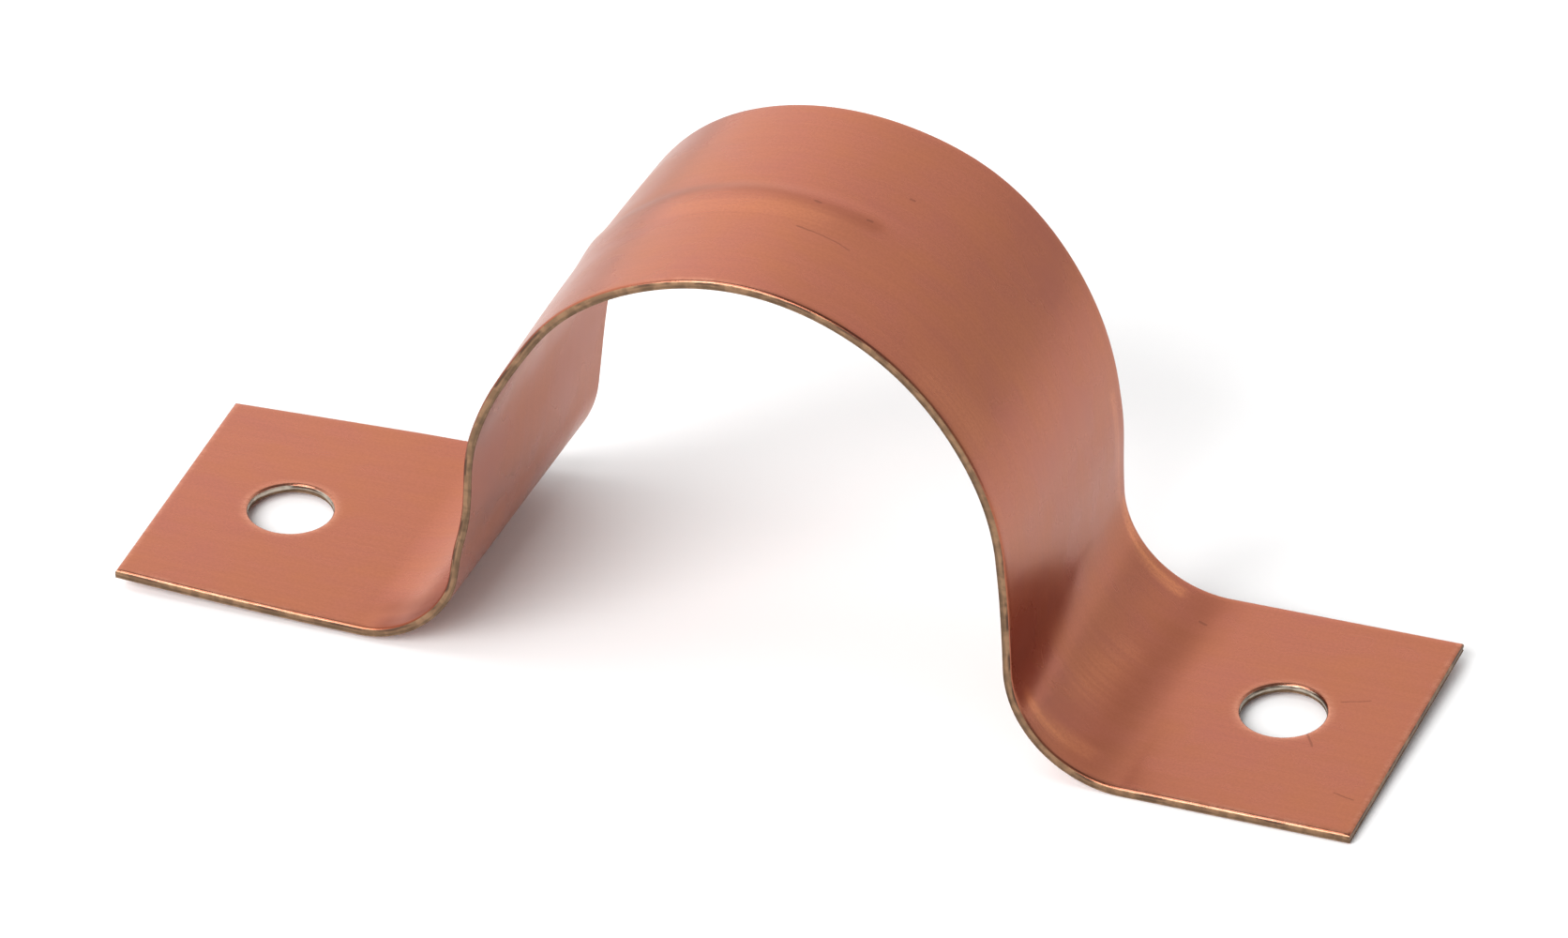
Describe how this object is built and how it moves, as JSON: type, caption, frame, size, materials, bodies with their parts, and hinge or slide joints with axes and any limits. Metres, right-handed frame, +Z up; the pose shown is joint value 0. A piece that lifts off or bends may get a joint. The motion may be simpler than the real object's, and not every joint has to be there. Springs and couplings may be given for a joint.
{
  "type": "pipe clip",
  "caption": "Folded sheet-steel pipe clip with a copper finish: a round arch that holds a pipe, and flat drilled feet that screw to a wall or joist.",
  "frame": {"origin": "middle of the clip, on the plane that the undersides of the feet stand on", "axes": "+X along the strip from foot to foot, +Y along the pipe, +Z up from the feet to the top of the arch"},
  "size_m": [0.0682, 0.0176, 0.0267],
  "materials": {
    "copper_plated_steel": "satin copper plate on mild steel strip, with bare steel at the cut edges"
  },
  "bodies": {
    "root": {"pipe_clip": "copper_plated_steel"}
  },
  "joints": []
}
